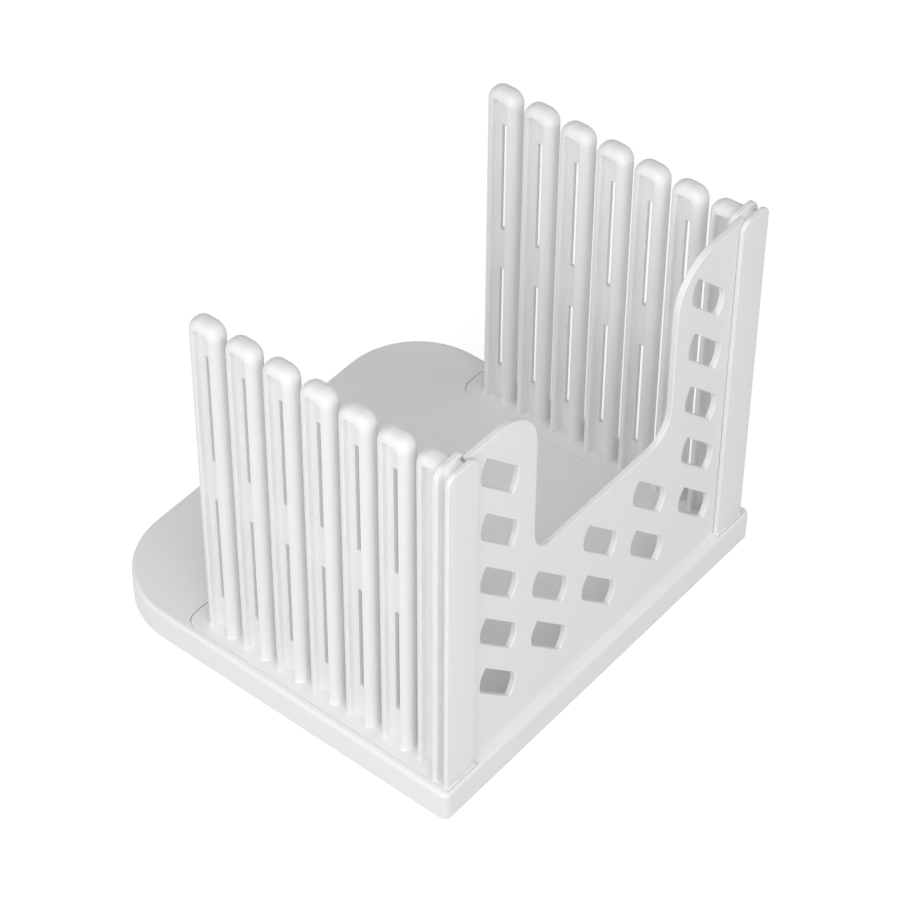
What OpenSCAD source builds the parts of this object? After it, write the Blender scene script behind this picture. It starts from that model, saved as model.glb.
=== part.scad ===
// Bread slicer guide: a hollow base, two slotted combs that plug into it, and an end board that
// drops into the grooves of the combs' near posts.
// X runs across the loaf, Y along it from the end board to the rounded far end, Z up.
// The origin is the middle of the base's lower face.

/* [Base] */
// Width of the base, across the loaf
base_w = 160; // [150:1:200]
// Length of the base, along the loaf
base_l = 150; // [140:1:200]
// Height of the base
base_h = 11.5; // [10:0.5:16]
// Radius of the two far corners, in plan
far_corner_r = 30.4; // [15:0.1:45]
// Radius of the two near corners, in plan
near_corner_r = 2.5; // [2:0.5:6]
// Radius of the rounded upper edge
base_edge_r = 1.5; // [0.5:0.1:1.8]
// Thickness of the skirt walls
skirt_t = 2.2; // [1.6:0.1:2.8]
// Thickness of the top wall
top_t = 2.4; // [1.8:0.1:3]
// Thickness of the ribs below the top wall
rib_t = 1.6; // [1:0.1:2.5]
// Number of ribs across the hollow
rib_count = 3; // [1:1:5]
// Depth of the ribs below the top wall
rib_h = 3; // [1:0.5:6]

/* [Comb foot] */
// Width of a comb's foot plate
foot_w = 13.6; // [12:0.1:18]
// Thickness of the foot plate, flush with the base's top
foot_t = 2.5; // [2:0.1:3]
// Radius of the foot plate's far corners
foot_corner_r = 4.5; // [2:0.5:6]
// Length of foot plate past the middle of the farthest finger
foot_end = 11.8; // [9:0.1:20]
// Width of the base's rim beside a foot plate
side_rim = 3; // [2.7:0.1:5]
// Width of the base's rim before a foot plate
near_rim = 1.6; // [1.3:0.1:4]
// Groove round a foot plate, its clearance in the pocket
foot_gap = 0.5; // [0.3:0.05:0.8]
// Thickness of the pocket's floor below a foot plate
pocket_floor_t = 2; // [1.5:0.1:3]

/* [Foot tongues] */
// Width of a tongue below the foot plate
tongue_w = 3; // [2:0.1:5]
// Length of a tongue
tongue_l = 24; // [12:1:36]
// Depth of a tongue below the foot plate
tongue_h = 6; // [4:0.5:6.5]
// Distance between the middles of the two tongues
tongue_spread = 64; // [44:1:80]
// Clearance of a tongue in its socket
tongue_gap = 0.35; // [0.3:0.05:0.6]
// Thickness of the socket walls
socket_t = 1.6; // [1.2:0.1:2.2]

/* [Fingers] */
// Number of fingers on a comb
finger_count = 7; // [3:1:8]
// Pitch of the fingers, one slice and its knife slot
finger_pitch = 14.57; // [13:0.01:15.5]
// Radius of the half-round bars of a finger
bar_r = 3.7; // [2.8:0.1:4]
// Distance between the middles of a finger's two bars
bar_spread = 4.6; // [3.6:0.1:5]
// Height of the fingers above the base's top
finger_h = 134.5; // [133.5:0.1:180]
// Radius of a finger's two upper corners, seen from its side
head_r = 5.2; // [4.2:0.1:6]
// Thickness of the web between two bars
web_t = 1.3; // [1:0.1:2]
// Width of the recess beside the web, between the bars' inner faces
recess_w = 5.7; // [4:0.1:6.4]
// Height of the recess beside the web, above the base's top
recess_h = 131; // [126:0.1:131.5]
// Width of the slits in the web
slit_w = 1.9; // [1:0.1:2.4]
// Lower end of the lower slit, above the base's top
low_slit_from = 15; // [8:0.1:20]
// Upper end of the lower slit, above the base's top
low_slit_to = 59.1; // [50:0.1:64]
// Lower end of the upper slit, above the base's top
high_slit_from = 76.3; // [70:0.1:90]
// Upper end of the upper slit, above the base's top
high_slit_to = 120.5; // [110:0.1:124]

/* [Near post] */
// Distance from the foot plate's near end to the middle of the nearest finger
finger_start = 10.5; // [10.4:0.1:14]
// Thickness of the two post plates
plate_t = 2; // [1.5:0.1:2.2]
// Height of the post plates above the base's top
plate_h = 135.5; // [133:0.1:136.5]
// Depth of the shallow crown on the front plate
crown_d = 0.4; // [0.1:0.1:0.8]
// Radius of the plates' upper corners
plate_corner_r = 4; // [1:0.1:6]
// Width of the groove between the two plates
groove_w = 2.6; // [2.5:0.1:3]
// Thickness of the spine that joins the two plates
spine_t = 7.4; // [1.4:0.1:7.8]
// Distance of the spine's top below the top of the plates
spine_drop = 1; // [0.2:0.1:3]

/* [End board] */
// Thickness of the end board
board_t = 2; // [1.6:0.1:2]
// Height of the end board
board_h = 135; // [132:0.5:136.5]
// Gap between the board's side edge and the spine
board_gap = 0.5; // [0.4:0.1:1.2]
// Width of each lobe beside the cut-out, up to the post
lobe_w = 29.4; // [28:0.1:34]
// Height of the cut-out's floor above the base's top
cut_floor = 68; // [68:0.1:80]
// Radius of the cut-out's lower corners
cut_low_r = 10; // [4:0.5:14]
// Radius of the inner corners on top of the two lobes
cut_top_r = 18; // [8:0.5:18]

/* [Slanted slots] */
// Distance of the outer slots' middles from the posts
slot_margin = 12.8; // [11:0.1:14]
// Pitch of the slots up the board
slot_pitch_z = 22.7; // [22.5:0.1:23]
// Height of the lowest slots' middles above the base's top
slot_row_z = 24.9; // [16:0.1:26]
// Number of slot columns
slot_cols = 5; // [3:2:5]
// Number of slot rows in the two outer columns
slot_rows = 5; // [2:1:5]
// Number of lowest rows that run right across
slot_full_rows = 2; // [1:1:2]
// Width of a slot, square to its slope
slot_w = 8.8; // [5:0.1:9]
// Radius of a slot's round ends
slot_end_r = 9.4; // [9.1:0.1:9.6]
// Distance of each round end's centre from the slot's middle, along its slope
slot_end_shift = 4.2; // [2:0.1:4.4]
// Slope of the slots, down towards the right comb
slot_slope = 45; // [30:1:45]

/* [Hidden] */
// Smoothness of round shapes
$fn = 64;
// How far a cut runs past the wall that it cuts
over = 1;

foot_l = finger_start + (finger_count - 1) * finger_pitch + foot_end;
foot_near_y = near_rim - base_l / 2;
foot_mid_y = foot_near_y + foot_l / 2;
comb_x = base_w / 2 - side_rim - foot_w / 2;
foot_z = base_h - foot_t;
// How far the uprights and the ribs reach into what carries them
root_h = foot_t / 2;

// The post, from its front face back
front_back_y = foot_near_y + plate_t;
inner_front_y = front_back_y + groove_w;
inner_back_y = inner_front_y + plate_t;

board_w = 2 * (comb_x - spine_t / 2 - board_gap);
board_mid_y = front_back_y + groove_w / 2;
// Width of the board that shows between the posts, and what follows from it
clear_w = 2 * comb_x - foot_w;
cut_w = clear_w - 2 * lobe_w;
outer_col = (slot_cols - 1) / 2;
slot_pitch_x = (clear_w / 2 - slot_margin) / outer_col;

// Middle of finger i along Y, counted from the end board
function finger_y(i) = foot_near_y + finger_start + i * finger_pitch;

// A block whose far and near corners are round, each pair by its own radius
module plan_block(w, l, h, far_r, near_r) {
    for (side = [-1, 1]) {
        translate([side * (w / 2 - far_r), l / 2 - far_r, 0]) cylinder(r = far_r, h = h);
        translate([side * (w / 2 - near_r), near_r - l / 2, 0]) cylinder(r = near_r, h = h);
    }
    translate([far_r - w / 2, -l / 2 + near_r, 0]) cube([w - 2 * far_r, l - near_r, h]);
    translate([near_r - w / 2, -l / 2, 0]) cube([w - 2 * near_r, 2 * near_r, h]);
    translate([-w / 2, near_r - l / 2, 0]) cube([w, l - far_r - near_r, h]);
}

// Half of the base's section, from its middle out to a side, with the upper edge rounded
module edge_section(reach) {
    square([reach - base_edge_r, base_h]);
    square([reach, base_h - base_edge_r]);
    translate([reach - base_edge_r, base_h - base_edge_r]) intersection() {
        circle(r = base_edge_r);
        square(base_edge_r);
    }
}

// The base's outer form, its upper edge rounded all the way round
module base_form() {
    side_l = base_l - far_corner_r - near_corner_r;
    for (side = [-1, 1]) {
        translate([side * (base_w / 2 - far_corner_r), base_l / 2 - far_corner_r, 0])
            rotate_extrude() edge_section(far_corner_r);
        translate([side * (base_w / 2 - near_corner_r), near_corner_r - base_l / 2, 0])
            rotate_extrude() edge_section(near_corner_r);
    }
    translate([0, base_l / 2 - far_corner_r, 0]) rotate([90, 0, 0]) linear_extrude(side_l) {
        edge_section(base_w / 2);
        mirror([1, 0]) edge_section(base_w / 2);
    }
    translate([far_corner_r - base_w / 2, 0, 0]) rotate([90, 0, 90])
        linear_extrude(base_w - 2 * far_corner_r) edge_section(base_l / 2);
    mirror([0, 1, 0]) translate([near_corner_r - base_w / 2, 0, 0]) rotate([90, 0, 90])
        linear_extrude(base_w - 2 * near_corner_r) edge_section(base_l / 2);
}

// A foot plate's plan grown by a margin, standing on z = 0 and centred along its length
module foot_block(margin, h) {
    w = foot_w + 2 * margin;
    l = foot_l + 2 * margin;
    r = foot_corner_r + margin;
    for (side = [-1, 1]) translate([side * (w / 2 - r), l / 2 - r, 0]) cylinder(r = r, h = h);
    translate([r - w / 2, 0, 0]) cube([w - 2 * r, l / 2, h]);
    translate([-w / 2, -l / 2, 0]) cube([w, l - r, h]);
}

// The plan of the two tongues below a foot, grown by a margin
module tongue_blocks(margin, h) {
    for (side = [-1, 1])
        translate([-tongue_w / 2 - margin, side * tongue_spread / 2 - tongue_l / 2 - margin, 0])
            cube([tongue_w + 2 * margin, tongue_l + 2 * margin, h]);
}

// Ribs across the hollow and one along its middle, up into the top wall
module ribs() {
    hollow_l = base_l - 2 * skirt_t;
    rib_w = 2 * comb_x - foot_w - 2 * foot_gap;
    low_z = base_h - top_t - rib_h;
    for (i = [1 : rib_count])
        translate([-rib_w / 2, i * hollow_l / (rib_count + 1) - hollow_l / 2 - rib_t / 2, low_z])
            cube([rib_w, rib_t, rib_h + top_t / 2]);
    translate([-rib_t / 2, -hollow_l / 2 - skirt_t / 2, low_z])
        cube([rib_t, hollow_l + skirt_t, rib_h + top_t / 2]);
}

// What holds a comb below the top wall: the pocket's floor and walls, and the tongues' sockets
module pocket_shell(side) {
    floor_z = foot_z - pocket_floor_t;
    socket_z = foot_z - tongue_h;
    up_to = base_h - top_t / 2;
    intersection() {
        translate([side * comb_x, foot_mid_y, floor_z]) foot_block(foot_gap + socket_t, up_to - floor_z);
        plan_block(base_w - skirt_t, base_l - skirt_t, base_h,
            far_corner_r - skirt_t / 2, near_corner_r - skirt_t / 2);
    }
    translate([side * comb_x, foot_mid_y, socket_z]) tongue_blocks(tongue_gap + socket_t, up_to - socket_z);
}

module base() {
    color("whitesmoke") difference() {
        union() {
            difference() {
                base_form();
                translate([0, 0, -over])
                    plan_block(base_w - 2 * skirt_t, base_l - 2 * skirt_t, base_h - top_t + over,
                        far_corner_r - skirt_t, max(near_corner_r - skirt_t, foot_gap / 2));
            }
            for (side = [-1, 1]) pocket_shell(side);
            ribs();
        }
        for (side = [-1, 1]) translate([side * comb_x, foot_mid_y, 0]) {
            translate([0, 0, foot_z]) foot_block(foot_gap, foot_t + over);
            translate([0, 0, -over]) tongue_blocks(tongue_gap, foot_z + 2 * over);
        }
    }
}

// An upper corner of a finger about its own centre: the round side of the bar, turned over the top
module head_corner() {
    bend_r = head_r - bar_r;
    intersection() {
        rotate([0, 90, 0]) rotate_extrude() intersection() {
            translate([bend_r, 0]) circle(r = bar_r);
            translate([0, -bar_r]) square([head_r, 2 * bar_r]);
        }
        translate([-bar_r - over, 0, 0]) cube([2 * bar_r + 2 * over, head_r + over, head_r + over]);
    }
}

// The outer form of a finger, its head rounded in both views, with bars centred at near and far
module finger_form(near, far) {
    bend_r = head_r - bar_r;
    trunk_h = finger_h - head_r;
    for (y = [near, far]) translate([0, y, -root_h]) cylinder(r = bar_r, h = trunk_h + root_h);
    translate([-bar_r, near, -root_h]) cube([2 * bar_r, far - near, trunk_h + root_h]);
    translate([0, far - bend_r, trunk_h]) head_corner();
    translate([0, near + bend_r, trunk_h]) mirror([0, 1, 0]) head_corner();
    translate([-bar_r, near + bend_r, trunk_h]) cube([2 * bar_r, far - near - 2 * bend_r, bend_r]);
    translate([0, near + bend_r, finger_h - bar_r]) rotate([-90, 0, 0])
        cylinder(r = bar_r, h = far - near - 2 * bend_r);
}

// The recesses on both faces of a finger, from near to far, which leave a web between its bars
module finger_recess(near, far) {
    for (side = [-1, 1])
        translate([side > 0 ? web_t / 2 : -web_t / 2 - bar_r, near, 0])
            cube([bar_r, far - near, recess_h]);
}

// A finger with two bars, a web and two slits, centred on its own middle
module finger() {
    difference() {
        finger_form(-bar_spread / 2, bar_spread / 2);
        finger_recess(-recess_w / 2, recess_w / 2);
        for (span = [[low_slit_from, low_slit_to], [high_slit_from, high_slit_to]])
            translate([-bar_r, -slit_w / 2, span[0]]) cube([2 * bar_r, slit_w, span[1] - span[0]]);
    }
}

// The nearest finger, whose web and round top run on into the inner post plate
module near_finger() {
    plate_back = inner_back_y - finger_y(0);
    near = plate_back - head_r;
    difference() {
        finger_form(near, bar_spread / 2);
        finger_recess(plate_back, recess_w / 2);
        translate([-bar_r - over, near - bar_r - over, -root_h - over])
            cube([2 * bar_r + 2 * over, head_r + bar_r + over - plate_t / 2, finger_h + root_h + 2 * over]);
    }
}

// A post plate as wide as the foot, its upper corners rounded, from y = 0 back by t
module post_plate(t) {
    r = plate_corner_r;
    translate([-foot_w / 2, 0, -root_h]) cube([foot_w, t, plate_h - r + root_h]);
    translate([r - foot_w / 2, 0, 0]) cube([foot_w - 2 * r, t, plate_h]);
    for (side = [-1, 1])
        translate([side * (foot_w / 2 - r), 0, plate_h - r]) rotate([-90, 0, 0]) cylinder(r = r, h = t);
}

// The front plate, its face a shallow crown with a line up the middle
module front_plate() {
    intersection() {
        translate([0, -over, 0]) post_plate(plate_t + over);
        translate([0, 0, -root_h - over]) linear_extrude(plate_h + root_h + 2 * over)
            polygon([[-foot_w, 2 * crown_d], [0, 0], [foot_w, 2 * crown_d],
                [foot_w, plate_t + over], [-foot_w, plate_t + over]]);
    }
}

// The spine between the two plates, its top a round ridge
module spine() {
    l = groove_w + plate_t;
    ridge_z = plate_h - spine_drop - spine_t / 2;
    translate([-spine_t / 2, -plate_t / 2, -root_h]) cube([spine_t, l, ridge_z + root_h]);
    translate([0, -plate_t / 2, ridge_z]) rotate([-90, 0, 0]) cylinder(r = spine_t / 2, h = l);
}

module comb() {
    translate([0, foot_mid_y, foot_z]) foot_block(0, foot_t);
    translate([0, foot_mid_y, foot_z - tongue_h]) tongue_blocks(0, tongue_h + foot_t / 2);
    for (i = [1 : finger_count - 1]) translate([0, finger_y(i), base_h]) finger();
    translate([0, finger_y(0), base_h]) near_finger();
    translate([0, foot_near_y, base_h]) front_plate();
    translate([0, inner_front_y, base_h]) post_plate(plate_t);
    translate([0, front_back_y, base_h]) spine();
}

module left_comb() {
    color("white") translate([-comb_x, 0, 0]) comb();
}

module right_comb() {
    color("white") translate([comb_x, 0, 0]) comb();
}

// One slanted slot: a band whose two ends are arcs, each centred on the other side of the band
module slanted_slot(depth) {
    reach = slot_end_r + slot_end_shift;
    rotate([0, slot_slope, 0]) intersection() {
        translate([-reach, -depth / 2, -slot_w / 2]) cube([2 * reach, depth, slot_w]);
        for (side = [-1, 1])
            translate([side * slot_end_shift, depth / 2, -side * slot_w / 2])
                rotate([90, 0, 0]) cylinder(r = slot_end_r, h = depth);
    }
}

// The board with its cut-out taken away and the lobes' inner corners rounded
module board_plate() {
    depth = board_t + 2 * over;
    difference() {
        translate([-board_w / 2, -board_t / 2, 0]) cube([board_w, board_t, board_h]);
        translate([-cut_w / 2, -depth / 2, cut_floor + cut_low_r])
            cube([cut_w, depth, board_h - cut_floor]);
        translate([cut_low_r - cut_w / 2, -depth / 2, cut_floor])
            cube([cut_w - 2 * cut_low_r, depth, board_h - cut_floor]);
        for (side = [-1, 1]) {
            translate([side * (cut_w / 2 - cut_low_r), depth / 2, cut_floor + cut_low_r])
                rotate([90, 0, 0]) cylinder(r = cut_low_r, h = depth);
            // A square taken away round a quarter disc
            translate([side * (cut_w / 2 + cut_top_r), 0, board_h - cut_top_r]) difference() {
                translate([side > 0 ? -cut_top_r - over : 0, -depth / 2, 0])
                    cube([cut_top_r + over, depth, cut_top_r + over]);
                translate([0, depth, 0]) rotate([90, 0, 0]) cylinder(r = cut_top_r, h = 2 * depth);
            }
        }
    }
}

module end_board() {
    color("white") translate([0, board_mid_y, base_h]) difference() {
        board_plate();
        for (col = [-outer_col : outer_col], row = [0 : slot_rows - 1])
            if (row < slot_full_rows || abs(col) == outer_col)
                translate([col * slot_pitch_x, 0, slot_row_z + row * slot_pitch_z])
                    slanted_slot(board_t + 2 * over);
    }
}

base();
left_comb();
right_comb();
end_board();
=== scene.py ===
import math

import bmesh
import bpy
from mathutils import Matrix, Vector


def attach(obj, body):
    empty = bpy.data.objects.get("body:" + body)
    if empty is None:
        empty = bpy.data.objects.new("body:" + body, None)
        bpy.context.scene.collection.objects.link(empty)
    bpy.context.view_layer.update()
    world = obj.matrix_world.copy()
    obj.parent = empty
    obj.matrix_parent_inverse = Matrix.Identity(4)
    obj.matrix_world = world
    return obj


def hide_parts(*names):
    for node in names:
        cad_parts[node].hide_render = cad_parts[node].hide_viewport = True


# Bread slicer guide: two slotted combs and an end board on a base, all in white moulded plastic.
# The pieces' sizes are in millimetres and the stage's in metres. All meshes are made in metres.

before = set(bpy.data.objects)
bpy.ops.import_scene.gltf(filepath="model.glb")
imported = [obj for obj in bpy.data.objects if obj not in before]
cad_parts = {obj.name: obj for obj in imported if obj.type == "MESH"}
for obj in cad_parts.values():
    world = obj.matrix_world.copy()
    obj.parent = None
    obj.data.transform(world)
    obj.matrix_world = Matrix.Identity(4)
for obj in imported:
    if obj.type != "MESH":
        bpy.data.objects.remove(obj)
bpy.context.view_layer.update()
mm = 0.001


# angles in radians at even steps, both ends included
def evenTurns(start, end, steps):
    return [math.radians(start + (end - start) * k / steps) for k in range(steps + 1)]


def arc(cx, cy, radius, start, end, steps):
    return [(cx + radius * math.cos(a), cy + radius * math.sin(a))
            for a in evenTurns(start, end, steps)]


def rectangle(left, low, right, high):
    return [(left, low), (right, low), (right, high), (left, high)]


# an outline with square corners at its low end and round ones at its high end
def arched(left, low, right, high, corner, steps):
    outline = [(left, low), (right, low)]
    outline += arc(right - corner, high - corner, corner, 0, 90, steps)
    return outline + arc(left + corner, high - corner, corner, 90, 180, steps)


# the loop moved to its left by a depth, which is into the material
def insetLoop(points, depth):
    leastCosine = 0.4    # holds back the point of a sharp corner
    moved = []
    for i, here in enumerate(points):
        before, after = points[i - 1], points[(i + 1) % len(points)]
        a = Vector((here[0] - before[0], here[1] - before[1])).normalized()
        b = Vector((after[0] - here[0], after[1] - here[1])).normalized()
        mitre = Vector((-a.y - b.y, a.x + b.x)).normalized()
        stretch = 1 / max(leastCosine, mitre.dot(Vector((-a.y, a.x))))
        moved.append((here[0] + mitre.x * depth * stretch, here[1] + mitre.y * depth * stretch))
    return moved


# inset and level of each ring up the side of a plate whose edges are round
def edgeRings(low, high, lowEdge, highEdge, steps=4):
    turns = evenTurns(0, 90, steps)
    rings = [(lowEdge * (1 - math.sin(a)), low + lowEdge * (1 - math.cos(a))) for a in turns]
    return rings + [(highEdge * (1 - math.cos(a)), high - highEdge * (1 - math.sin(a)))
                    for a in turns]


# a closed shell: a wall round each loop through all the rings, and a flat face at either end
def plateShell(bm, loops, rings, place):
    made, ends = [], ([], [])
    for loop in loops:
        levels = [[bm.verts.new(place(x, y, level)) for x, y in insetLoop(loop, depth)]
                  for depth, level in rings]
        for lower, upper in zip(levels, levels[1:]):
            for i in range(len(loop)):
                bm.faces.new((lower[i - 1], lower[i], upper[i], upper[i - 1]))
        for edges, ring in zip(ends, (levels[0], levels[-1])):
            edges += [bm.edges.get((ring[i - 1], ring[i])) for i in range(len(ring))]
        made += [v for level in levels for v in level]
    for edges in ends:
        bmesh.ops.triangle_fill(bm, use_beauty=True, use_dissolve=False, edges=edges)
    return made


# where a shell's points come to lie: the loop's two measures first, then the ring's level
def flatPlace(x, y, z):
    return (x * mm, y * mm, z * mm)


def uprightPlace(x, z, y):
    return flatPlace(x, y, z)


def sidePlace(y, z, x):
    return flatPlace(x, y, z)


def newMesh(bm, name):
    bmesh.ops.recalc_face_normals(bm, faces=bm.faces)
    mesh = bpy.data.meshes.new(name)
    bm.to_mesh(mesh)
    bm.free()
    return mesh


# cuts shells out of a body, one after the other, and gives back the mesh that is left
def cutAway(bm, cutters):
    pieces = [bpy.data.objects.new("blank", newMesh(bm, "blank"))]
    bpy.context.scene.collection.objects.link(pieces[0])
    for cutter in cutters:
        tool = bpy.data.objects.new("cutter", newMesh(cutter, "cutter"))
        bpy.context.scene.collection.objects.link(tool)
        cut = pieces[0].modifiers.new("cut", "BOOLEAN")
        cut.operation, cut.solver, cut.object = "DIFFERENCE", "EXACT", tool
        pieces.append(tool)
    graph = bpy.context.evaluated_depsgraph_get()
    left = bpy.data.meshes.new_from_object(pieces[0].evaluated_get(graph))
    for piece in pieces:
        mesh = piece.data
        bpy.data.objects.remove(piece)
        bpy.data.meshes.remove(mesh)
    return left


# an object with even shading, its edges kept sharp only where they turn by more than the angle
def finishPiece(bm, name, sharpAngle=42):
    bmesh.ops.recalc_face_normals(bm, faces=bm.faces)
    for face in bm.faces:
        face.smooth = True
    for edge in bm.edges:
        if len(edge.link_faces) == 2 and edge.calc_face_angle() > math.radians(sharpAngle):
            edge.smooth = False
    piece = bpy.data.objects.new(name, newMesh(bm, name))
    bpy.context.scene.collection.objects.link(piece)
    piece.modifiers.new("even shading", "WEIGHTED_NORMAL").keep_sharp = True
    return piece


# a maths node whose two inputs are each a number or a socket
def maths(tree, kind, a, b):
    node = tree.nodes.new("ShaderNodeMath")
    node.operation = kind
    for socket, value in zip(node.inputs, (a, b)):
        if isinstance(value, (int, float)):
            socket.default_value = value
        else:
            tree.links.new(value, socket)
    return node.outputs[0]


# scale and detail of each noise, the range that is spread out, and the fine one's share of height
mouldedNoise = {"cloud": (22, 2), "fine": (260, 3), "grain": (1800, 2),
                "lowest": 0.3, "highest": 0.7, "fineHeight": 0.25}


# the fine variation of moulded plastic: a colour, a roughness and a height for bump
def mouldedGroup():
    group = bpy.data.node_groups.new("mouldedFinish", "ShaderNodeTree")
    for way, names in (("INPUT", ("Tint", "Mottle", "Gloss", "Gloss Spread", "Grain")),
                       ("OUTPUT", ("Color", "Roughness", "Height"))):
        for name in names:
            kind = "Color" if name in ("Tint", "Color") else "Float"
            group.interface.new_socket(name, in_out=way, socket_type="NodeSocket" + kind)
    nodes, links = group.nodes, group.links
    start, end = nodes.new("NodeGroupInput"), nodes.new("NodeGroupOutput")
    place = nodes.new("ShaderNodeTexCoord")

    def noise(name):
        node = nodes.new("ShaderNodeTexNoise")
        scale, detail = mouldedNoise[name]
        node.inputs["Scale"].default_value = scale
        node.inputs["Detail"].default_value = detail
        links.new(place.outputs["Object"], node.inputs["Vector"])
        return node.outputs["Fac"]

    # a noise spread out to run from -1 to 1
    def centred(value):
        node = nodes.new("ShaderNodeMapRange")
        node.inputs["From Min"].default_value = mouldedNoise["lowest"]
        node.inputs["From Max"].default_value = mouldedNoise["highest"]
        node.inputs["To Min"].default_value = -1
        links.new(value, node.inputs["Value"])
        return node.outputs["Result"]

    cloud, fine, grain = centred(noise("cloud")), noise("fine"), noise("grain")
    # colour: the tint, lighter and darker by up to the mottle
    factor = maths(group, "ADD", 1, maths(group, "MULTIPLY", cloud, start.outputs["Mottle"]))
    shade = nodes.new("ShaderNodeVectorMath")
    shade.operation = "SCALE"
    links.new(start.outputs["Tint"], shade.inputs[0])
    links.new(factor, shade.inputs["Scale"])
    links.new(shade.outputs["Vector"], end.inputs["Color"])
    # roughness: the mean of a fine and a broad variation about the gloss
    both = maths(group, "MULTIPLY", maths(group, "ADD", centred(fine), cloud), 0.5)
    change = maths(group, "MULTIPLY", both, start.outputs["Gloss Spread"])
    links.new(maths(group, "ADD", start.outputs["Gloss"], change), end.inputs["Roughness"])
    # height: the grain, and a little of the fine noise
    rise = maths(group, "MULTIPLY", grain, start.outputs["Grain"])
    swell = maths(group, "MULTIPLY", fine, mouldedNoise["fineHeight"])
    links.new(maths(group, "ADD", rise, swell), end.inputs["Height"])
    return group


moulded = mouldedGroup()
anyPlastic = {"refraction": 1.49, "bumpDepth": 0.01}


def plastic(name, values):
    material = bpy.data.materials.new(name)
    material.use_nodes = True
    nodes, links = material.node_tree.nodes, material.node_tree.links
    skin = nodes["Principled BSDF"]
    finish = nodes.new("ShaderNodeGroup")
    finish.node_tree = moulded
    finish.inputs["Tint"].default_value = (*values["tint"], 1)
    finish.inputs["Mottle"].default_value = values["mottle"]
    finish.inputs["Gloss"].default_value = values["gloss"]
    finish.inputs["Gloss Spread"].default_value = values["glossSpread"]
    finish.inputs["Grain"].default_value = values["grain"]
    bump = nodes.new("ShaderNodeBump")
    bump.inputs["Strength"].default_value = values["bump"]
    bump.inputs["Distance"].default_value = anyPlastic["bumpDepth"] * mm
    links.new(finish.outputs["Color"], skin.inputs["Base Color"])
    links.new(finish.outputs["Roughness"], skin.inputs["Roughness"])
    links.new(finish.outputs["Height"], bump.inputs["Height"])
    links.new(bump.outputs["Normal"], skin.inputs["Normal"])
    skin.inputs["IOR"].default_value = anyPlastic["refraction"]
    return material


comb = {
    "middleX": 70.2, "baseTop": 11.5, "root": 1.2, "rootFillet": 0.5, "filletSteps": 4,
    "footWidth": 14.25, "footNear": -73.65, "footFar": 36.6, "footCorner": 4.75,
    "footLow": 9.0, "footLowEdge": 0.2, "footEdge": 0.35, "cornerSteps": 12,
    "fingerCount": 7, "fingerFirst": -62.9, "pitch": 14.57,
    # barSquare and nearestTop: 1 is a half circle, and less is squarer
    "barRadius": 3.7, "barSquare": 0.82, "barSpread": 4.6, "roundSteps": 20,
    "fingerTop": 146.0, "headRadius": 4.6, "headSteps": 8, "nearestTop": 0.4, "nearestInset": 1.0,
    "web": 1.45, "recessWidth": 5.7, "recessTop": 142.5, "recessCorner": 1.6,
    "recessFloorEdge": 1.2, "recessRimEdge": 0.6, "recessRimTurn": 72, "recessRimDrop": 0.06,
    "recessFlare": 0.1, "recessLap": 0.5, "recessSteps": 4, "recessCornerSteps": 6,
    "slitWidth": 1.75, "slits": ((25.6, 70.1), (87.2, 131.4)),
    # how far the cutters reach beyond what they cut, and the recess cutters beyond the bars
    "cutterOver": 1.0, "recessOver": 0.9,
    "plateFront": -73.4, "plateWidth": 13.6, "plateThick": 2.0, "plateTop": 147.0,
    "plateCorner": 4.0, "plateEdge": 0.4, "crown": 0.45, "groove": 2.6,
    "tongueWidth": 3.0, "tongueLength": 24.0, "tongueDepth": 6.0, "tongueSpread": 64.0,
    "tongueEdge": 0.3, "tongueRoot": 1.0,
}
combPlastic = plastic("combPlastic", {"tint": (0.9, 0.9, 0.897), "mottle": 0.008, "gloss": 0.33,
                                      "glossSpread": 0.03, "grain": 0.3, "bump": 0.05})


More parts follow.
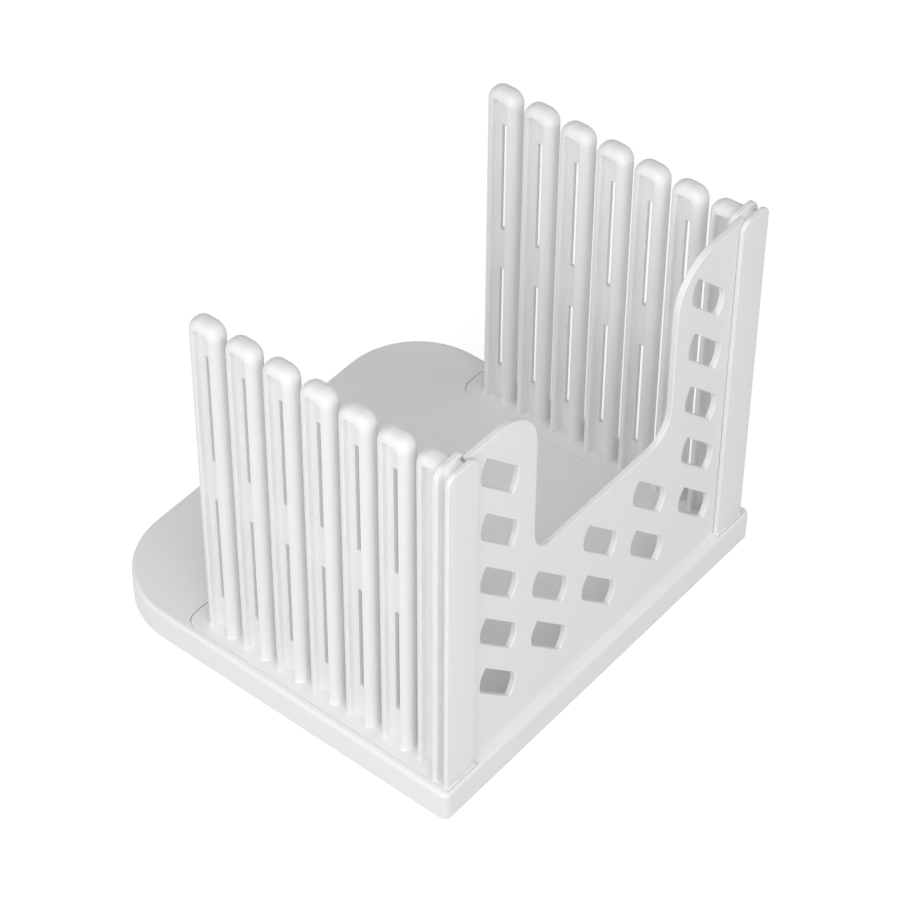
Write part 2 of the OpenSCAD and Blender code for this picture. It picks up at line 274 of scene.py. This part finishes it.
# a finger about its own middle: a nearly half-round section, swept up one bar, over the head and
# down the other bar, or where a near end is given, straight on to there
def fingerBody(nearEnd=None):
    bm = bmesh.new()
    radius, spread = comb["barRadius"], comb["barSpread"] / 2
    bend, fillet = comb["headRadius"] - radius, comb["rootFillet"]
    shoulder = comb["fingerTop"] - comb["headRadius"]
    # the section's points: across the finger, and out along the comb
    square = comb["barSquare"]
    section = [(math.copysign(abs(math.sin(a)) ** square, a), max(0, math.cos(a)) ** square)
               for a in evenTurns(-90, 90, comb["roundSteps"])]
    # growth and height of each row below the shoulder, with a fillet at the foot plate
    stations = [(fillet, comb["baseTop"] - comb["root"])]
    stations += [(fillet * (1 - math.cos(a)), comb["baseTop"] + fillet * (1 - math.sin(a)))
                 for a in evenTurns(90, 0, comb["filletSteps"])]
    tilts = evenTurns(0, 90, comb["headSteps"])

    def trunkRow(way, grow, z):
        wide = radius + grow
        return [bm.verts.new(flatPlace(wide * across, way * (spread + wide * out), z))
                for across, out in section]

    def headRow(way, tilt):
        row = []
        for across, out in section:
            reach = bend + radius * out
            y = spread - bend + reach * math.cos(tilt)
            z = shoulder + reach * math.sin(tilt)
            row.append(bm.verts.new(flatPlace(radius * across, way * y, z)))
        return row

    def joinRows(lower, upper):
        for a, b, c, d in zip(lower, lower[1:], upper[1:], upper):
            bm.faces.new((a, b, c, d))

    far = [trunkRow(1, grow, z) for grow, z in stations] + [headRow(1, tilt) for tilt in tilts]
    if nearEnd is None:
        near = [trunkRow(-1, grow, z) for grow, z in stations]
        near += [headRow(-1, tilt) for tilt in tilts]
    else:
        near = [[bm.verts.new(flatPlace(side * (radius + grow), nearEnd, z)) for side in (-1, 1)]
                for grow, z in stations]
        # the top is flatter here, where the end board stands beside it
        tops = [shoulder + bend + radius * out ** comb["nearestTop"] for across, out in section]
        near.append([bm.verts.new(flatPlace(radius * across, nearEnd, z))
                     for (across, out), z in zip(section, tops)])
    for rows in (far, near):
        for lower, upper in zip(rows, rows[1:]):
            if len(lower) == len(upper):
                joinRows(lower, upper)
            else:
                bm.faces.new([lower[1], lower[0]] + upper)
    joinRows(far[-1], near[-1])
    # the flat faces between the bars, and the underside
    last = len(stations) - 1
    for end in (0, -1):
        for i in range(last):
            bm.faces.new((far[i][end], far[i + 1][end], near[i + 1][end], near[i][end]))
        bm.faces.new([row[end] for row in far[last:]] + [row[end] for row in reversed(near[last:])])
    bm.faces.new(far[0] + near[0][::-1])
    return bm


# the recesses on both faces, with a round floor edge and a soft rim, which leave the web
def recessCutter(near, far):
    bm = bmesh.new()
    half, steps = comb["web"] / 2, comb["recessSteps"]
    rim, floorEdge = comb["recessRimEdge"], comb["recessFloorEdge"]
    low = comb["baseTop"] - comb["root"] - comb["cutterOver"]
    outline = arched(near, low, far, comb["recessTop"],
                     comb["recessCorner"], comb["recessCornerSteps"])
    rings = [(floorEdge * (1 - math.sin(a)), half + floorEdge * (1 - math.cos(a)))
             for a in evenTurns(0, 90, steps)]
    rimLow = comb["barRadius"] - comb["recessRimDrop"] - rim
    rings += [(-rim * (1 - math.cos(a)), rimLow + rim * math.sin(a))
              for a in evenTurns(0, comb["recessRimTurn"], steps)]
    rings.append((rings[-1][0] - comb["recessFlare"], comb["barRadius"] + comb["recessOver"]))
    for side in (-1, 1):
        plateShell(bm, [outline], rings, lambda y, z, x: sidePlace(y, z, side * x))
    return bm


def slitCutter():
    bm = bmesh.new()
    half, reach = comb["slitWidth"] / 2, comb["web"] / 2 + comb["cutterOver"]
    for low, high in comb["slits"]:
        slit = rectangle(-half, low, half, high)
        plateShell(bm, [slit], [(0, -reach), (0, reach)], sidePlace)
    return bm


# an upright plate with round upper corners, and where a crown is given, a front that bulges by it
def postPlate(bm, front, crown):
    half, low = comb["plateWidth"] / 2, comb["baseTop"] - comb["root"]
    outline = arched(-half, low, half, comb["plateTop"], comb["plateCorner"], comb["cornerSteps"])
    edge, back = comb["plateEdge"], front + comb["plateThick"]
    made = plateShell(bm, [outline], edgeRings(front, back, edge, edge), uprightPlace)
    if crown:
        # a line of points down the middle, from which the front falls away to both sides
        samePlace = 1e-7
        middle = (front + comb["plateThick"] / 2) * mm
        part = set(made)
        geometry = made + [e for e in bm.edges if e.verts[0] in part]
        geometry += [f for f in bm.faces if f.verts[0] in part]
        cut = bmesh.ops.bisect_plane(bm, geom=geometry, dist=samePlace,
                                     plane_co=(0, 0, 0), plane_no=(1, 0, 0))
        part |= {v for v in cut["geom_cut"] if isinstance(v, bmesh.types.BMVert)}
        for v in part:
            if v.co.y < middle:
                v.co.y += crown * mm * min(1, abs(v.co.x) / (half * mm))


# all shells of one comb, about x = 0
def combShells():
    bm = bmesh.new()
    half, near, far = comb["footWidth"] / 2, comb["footNear"], comb["footFar"]
    foot = arched(-half, near, half, far, comb["footCorner"], comb["cornerSteps"])
    rings = edgeRings(comb["footLow"], comb["baseTop"], comb["footLowEdge"], comb["footEdge"])
    plateShell(bm, [foot], rings, flatPlace)
    wide, reach, edge = comb["tongueWidth"] / 2, comb["tongueLength"] / 2, comb["tongueEdge"]
    low, high = comb["footLow"] - comb["tongueDepth"], comb["footLow"] + comb["tongueRoot"]
    for side in (-1, 1):
        centre = (near + far) / 2 + side * comb["tongueSpread"] / 2
        tongue = rectangle(-wide, centre - reach, wide, centre + reach)
        plateShell(bm, [tongue], edgeRings(low, high, edge, edge), flatPlace)
    front = comb["plateFront"]
    innerFront = front + comb["plateThick"] + comb["groove"]
    # the nearest finger joins the inner plate, and has no slits
    first, wide = comb["fingerFirst"], comb["recessWidth"] / 2
    finger = cutAway(fingerBody(), [recessCutter(-wide, wide), slitCutter()])
    recessNear = innerFront + comb["plateThick"] - first - comb["recessLap"]
    nearest = cutAway(fingerBody(front + comb["nearestInset"] - first),
                      [recessCutter(recessNear, wide)])
    for i in range(comb["fingerCount"]):
        bm.verts.ensure_lookup_table()
        count = len(bm.verts)
        bm.from_mesh(finger if i else nearest)
        bm.verts.ensure_lookup_table()
        shift = (0, (first + i * comb["pitch"]) * mm, 0)
        bmesh.ops.translate(bm, verts=bm.verts[count:], vec=shift)
    postPlate(bm, front, comb["crown"])
    postPlate(bm, innerFront, 0)
    return bm


for body, side in (("left_comb", -1), ("right_comb", 1)):
    bm = combShells()
    bmesh.ops.translate(bm, verts=bm.verts, vec=(side * comb["middleX"] * mm, 0, 0))
    piece = finishPiece(bm, body + "_moulding")
    piece.data.materials.append(combPlastic)
    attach(piece, body)
    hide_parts(body)
print("combs made")


board = {
    "halfWidth": 66.2, "front": -71.3, "thick": 2.3, "low": 11.5, "top": 146.5, "edge": 0.45,
    "cutHalf": 34.0, "cutFloor": 79.5, "cutCorner": 10.0, "lobeCorner": 18.0,
    "cutSteps": 16, "lobeSteps": 20,
    "columns": (-50.6, -25.3, 0.0, 25.3, 50.6), "lowRow": 36.4, "rowPitch": 22.7,
    "rows": 5, "fullRows": 2,
    # the slots stand a little off a square grid
    "rowDrift": -0.22, "columnDrift": -0.0105, "pitchDrift": -0.0015,
    "slotHalf": 4.1, "slotRadius": 8.9, "slotShift": 3.8, "slotSteps": 14,
}
boardPlastic = plastic("boardPlastic", {"tint": (0.9, 0.9, 0.897), "mottle": 0.008, "gloss": 0.33,
                                        "glossSpread": 0.03, "grain": 0.3, "bump": 0.05})


# a slanted slot: a band between two straight sides, each end an arc about the band's other side
def slotLoop(cx, cz):
    half, radius, shift = board["slotHalf"], board["slotRadius"], board["slotShift"]
    slant, steps = math.sqrt(0.5), board["slotSteps"]
    along, across = Vector((slant, -slant)), Vector((slant, slant))
    sweep = math.degrees(math.asin(2 * half / radius))
    points = arc(shift, -half, radius, 0, sweep, steps)
    points += arc(-shift, half, radius, 180, 180 + sweep, steps)
    turned = [(cx + along.x * s + across.x * t, cz + along.y * s + across.y * t)
              for s, t in points]
    return turned[::-1]    # clockwise, because it is a hole


# the board's outline with its U-shaped cut-out and two lobes, and then its slots
def boardLoops():
    half, low, top = board["halfWidth"], board["low"], board["top"]
    cut, lobe, lobeSteps = board["cutHalf"], board["lobeCorner"], board["lobeSteps"]
    corner, cutSteps = board["cutCorner"], board["cutSteps"]
    cornerZ = board["cutFloor"] + corner
    outline = [(-half, low), (half, low), (half, top)]
    outline += arc(cut + lobe, top - lobe, lobe, 90, 180, lobeSteps)
    outline += arc(cut - corner, cornerZ, corner, 0, -90, cutSteps)
    outline += arc(corner - cut, cornerZ, corner, -90, -180, cutSteps)
    outline += arc(-cut - lobe, top - lobe, lobe, 0, 90, lobeSteps)
    outline += [(-half, top)]
    loops = [outline]
    for row in range(board["rows"]):
        for x in board["columns"]:
            if row < board["fullRows"] or abs(x) == max(board["columns"]):
                pitch = board["rowPitch"] + board["pitchDrift"] * x
                z = board["lowRow"] + row * pitch + board["columnDrift"] * x
                loops.append(slotLoop(x + row * board["rowDrift"], z))
    return loops


bm = bmesh.new()
rings = edgeRings(board["front"], board["front"] + board["thick"], board["edge"], board["edge"])
plateShell(bm, boardLoops(), rings, uprightPlace)
piece = finishPiece(bm, "end_board_plate")
piece.data.materials.append(boardPlastic)
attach(piece, "end_board")
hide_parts("end_board")
print("end board made")


basePlastic = plastic("basePlastic", {"tint": (0.89, 0.89, 0.887), "mottle": 0.008, "gloss": 0.34,
                                      "glossSpread": 0.03, "grain": 0.3, "bump": 0.05})
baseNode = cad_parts["base"]
baseNode.data.materials.clear()
baseNode.data.materials.append(basePlastic)
print("base dressed")


stage = {"floorReach": 6, "floorSegments": 8, "floorTone": 0.45, "floorLift": 0.75,
         "worldLevel": 0.285, "lampTarget": (0, 0, 0.08),
         # each lamp: place, width and depth, and power
         "lamps": {"sideLamp": ((-1.1, -0.4, 0.35), (1.1, 0.65), 1.8),
                   "highSideLamp": ((-1.0, 0.1, 0.8), (1.7, 1.2), 1.8),
                   "cornerLamp": ((-0.7, -0.55, 0.35), (0.7, 0.6), 1.6),
                   "farCornerLamp": ((-0.9, 0.85, 0.4), (1.1, 0.7), 3.3),
                   "highLamp": ((-0.75, -0.6, 1.0), (1.3, 1.1), 3.1),
                   "frontLamp": ((-0.1, -1.0, 0.8), (1.4, 1.0), 4.7),
                   "topLamp": ((0, 0, 1.3), (1.3, 1.3), 1.7)}}

floorMesh = bpy.data.meshes.new("floor")
bm = bmesh.new()
bmesh.ops.create_grid(bm, x_segments=stage["floorSegments"], y_segments=stage["floorSegments"],
                      size=stage["floorReach"])
bm.to_mesh(floorMesh)
bm.free()
floor = bpy.data.objects.new("floor", floorMesh)
bpy.context.scene.collection.objects.link(floor)
floorMaterial = bpy.data.materials.new("paleFloor")
floorMaterial.use_nodes = True
tree = floorMaterial.node_tree
tree.nodes.clear()
matt = tree.nodes.new("ShaderNodeBsdfDiffuse")
matt.inputs["Color"].default_value = (stage["floorTone"],) * 3 + (1,)
# the floor is lifted to white for the eye and in reflections, and not in the light it gives back
lift = tree.nodes.new("ShaderNodeEmission")
path = tree.nodes.new("ShaderNodeLightPath").outputs
seen = maths(tree, "MAXIMUM", path["Is Camera Ray"], path["Is Glossy Ray"])
seen = maths(tree, "MAXIMUM", seen, path["Is Transmission Ray"])
tree.links.new(maths(tree, "MULTIPLY", seen, stage["floorLift"]), lift.inputs["Strength"])
both = tree.nodes.new("ShaderNodeAddShader")
tree.links.new(matt.outputs[0], both.inputs[0])
tree.links.new(lift.outputs[0], both.inputs[1])
out = tree.nodes.new("ShaderNodeOutputMaterial")
tree.links.new(both.outputs[0], out.inputs["Surface"])
floorMesh.materials.append(floorMaterial)

world = bpy.data.worlds.new("studio")
bpy.context.scene.world = world
world.use_nodes = True
sky = world.node_tree.nodes["Background"]
sky.inputs["Color"].default_value = (1, 1, 1, 1)
sky.inputs["Strength"].default_value = stage["worldLevel"]


def lamp(name, place, size, power):
    light = bpy.data.lights.new(name, "AREA")
    light.shape = "RECTANGLE"
    light.size, light.size_y = size
    light.energy = power
    holder = bpy.data.objects.new(name, light)
    bpy.context.scene.collection.objects.link(holder)
    holder.location = place
    way = Vector(stage["lampTarget"]) - Vector(place)
    holder.rotation_euler = way.to_track_quat("-Z", "Y").to_euler()


for name, (place, size, power) in stage["lamps"].items():
    lamp(name, place, size, power)

camera = {"place": (-567.69, -474.19, 793.01), "forward": (0.5477, 0.4474, -0.7070),
          "right": (0.6357, -0.7719, 0.0040), "lens": 130.0, "sensor": 36.0,
          "clip": (0.01, 50)}
eye = bpy.data.cameras.new("photoCamera")
eye.sensor_width = camera["sensor"]
eye.lens = camera["lens"]
eye.clip_start, eye.clip_end = camera["clip"]
holder = bpy.data.objects.new("photoCamera", eye)
bpy.context.scene.collection.objects.link(holder)
back = -Vector(camera["forward"]).normalized()
right = Vector(camera["right"])
right = (right - back * right.dot(back)).normalized()
up = back.cross(right)
turn = Matrix((right, up, back)).transposed().to_4x4()
holder.matrix_world = Matrix.Translation(Vector(camera["place"]) * mm) @ turn
bpy.context.scene.camera = holder
bpy.context.scene.view_settings.view_transform = "Standard"
print("stage and camera set")
